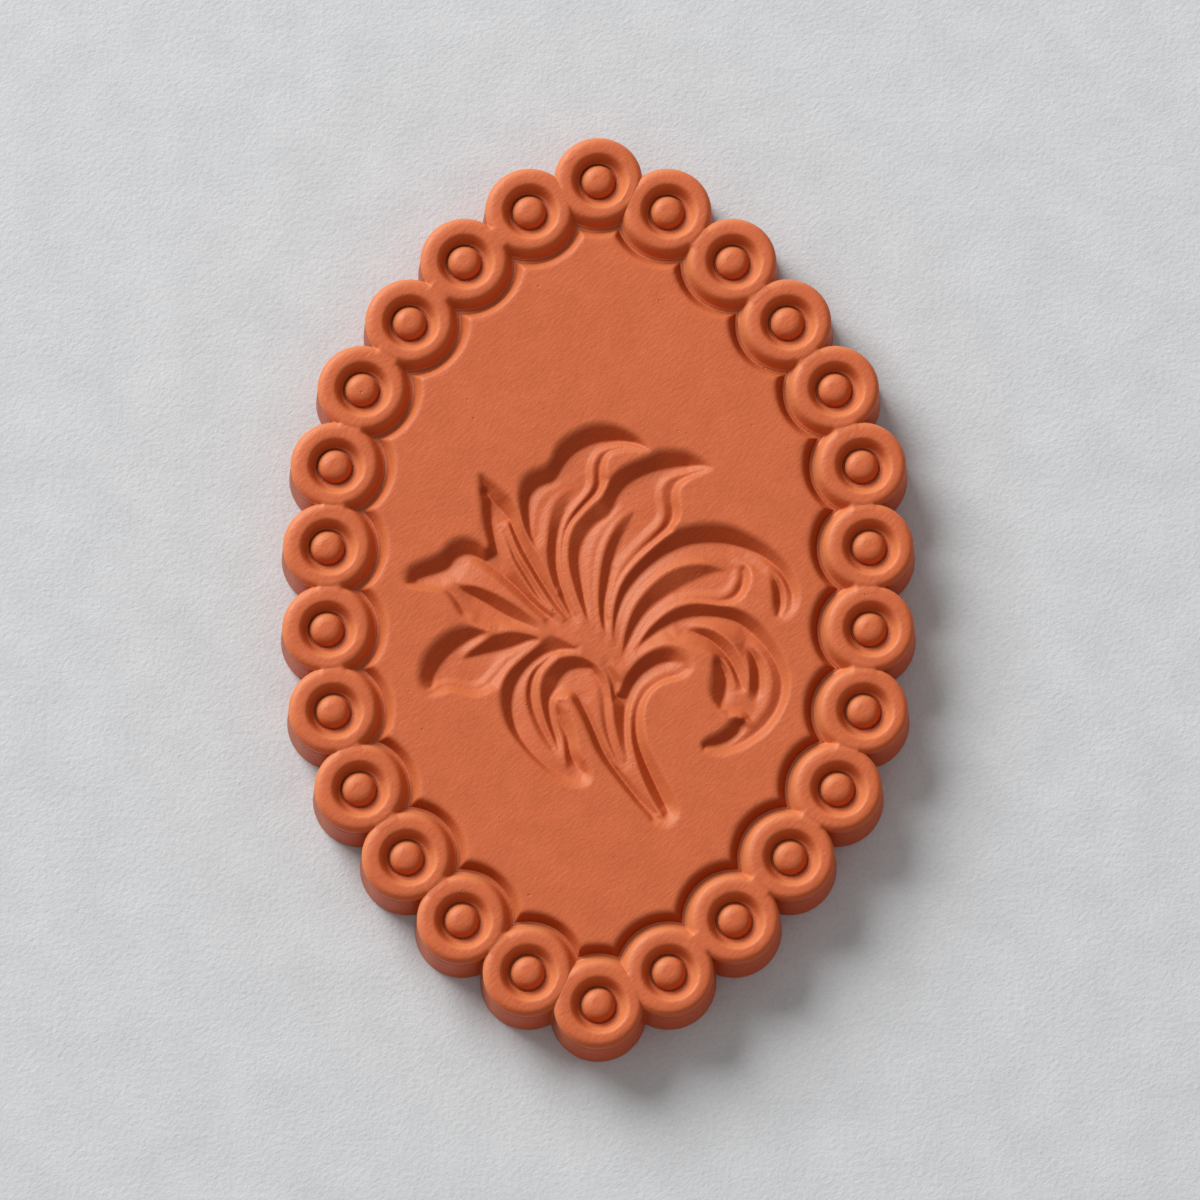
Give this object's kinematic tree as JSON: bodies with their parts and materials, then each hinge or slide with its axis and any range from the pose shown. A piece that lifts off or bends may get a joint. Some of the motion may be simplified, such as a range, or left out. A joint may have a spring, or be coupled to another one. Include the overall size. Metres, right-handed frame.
{
  "type": "embossed clay plaque",
  "caption": "Pointed-oval clay plaque: chain of fused rings with a domed bead in each, around a flat panel with a pressed flower.",
  "frame": {"origin": "middle of the flat back face, under the middle of the oval", "axes": "+Z out of the decorated face, +Y along the oval towards its upper tip, +X to the right of the flower"},
  "size_m": [0.034, 0.0502, 0.0035],
  "materials": {
    "clay_base": "matt baked polymer clay, fine diagonal grain",
    "clay_rim": "matt baked polymer clay, fine diagonal grain",
    "clay_panel": "matt baked polymer clay, fine diagonal grain",
    "clay_beads": "matt baked polymer clay, fine diagonal grain"
  },
  "bodies": {
    "root": {"base_slab": "clay_base", "ring_rim": "clay_rim", "flower_panel": "clay_panel", "bead_01": "clay_beads", "bead_02": "clay_beads", "bead_03": "clay_beads", "bead_04": "clay_beads", "bead_05": "clay_beads", "bead_06": "clay_beads", "bead_07": "clay_beads", "bead_08": "clay_beads", "bead_09": "clay_beads", "bead_10": "clay_beads", "bead_11": "clay_beads", "bead_12": "clay_beads", "bead_13": "clay_beads", "bead_14": "clay_beads", "bead_15": "clay_beads", "bead_16": "clay_beads", "bead_17": "clay_beads", "bead_18": "clay_beads", "bead_19": "clay_beads", "bead_20": "clay_beads", "bead_21": "clay_beads", "bead_22": "clay_beads", "bead_23": "clay_beads", "bead_24": "clay_beads", "bead_25": "clay_beads", "bead_26": "clay_beads"}
  },
  "joints": []
}
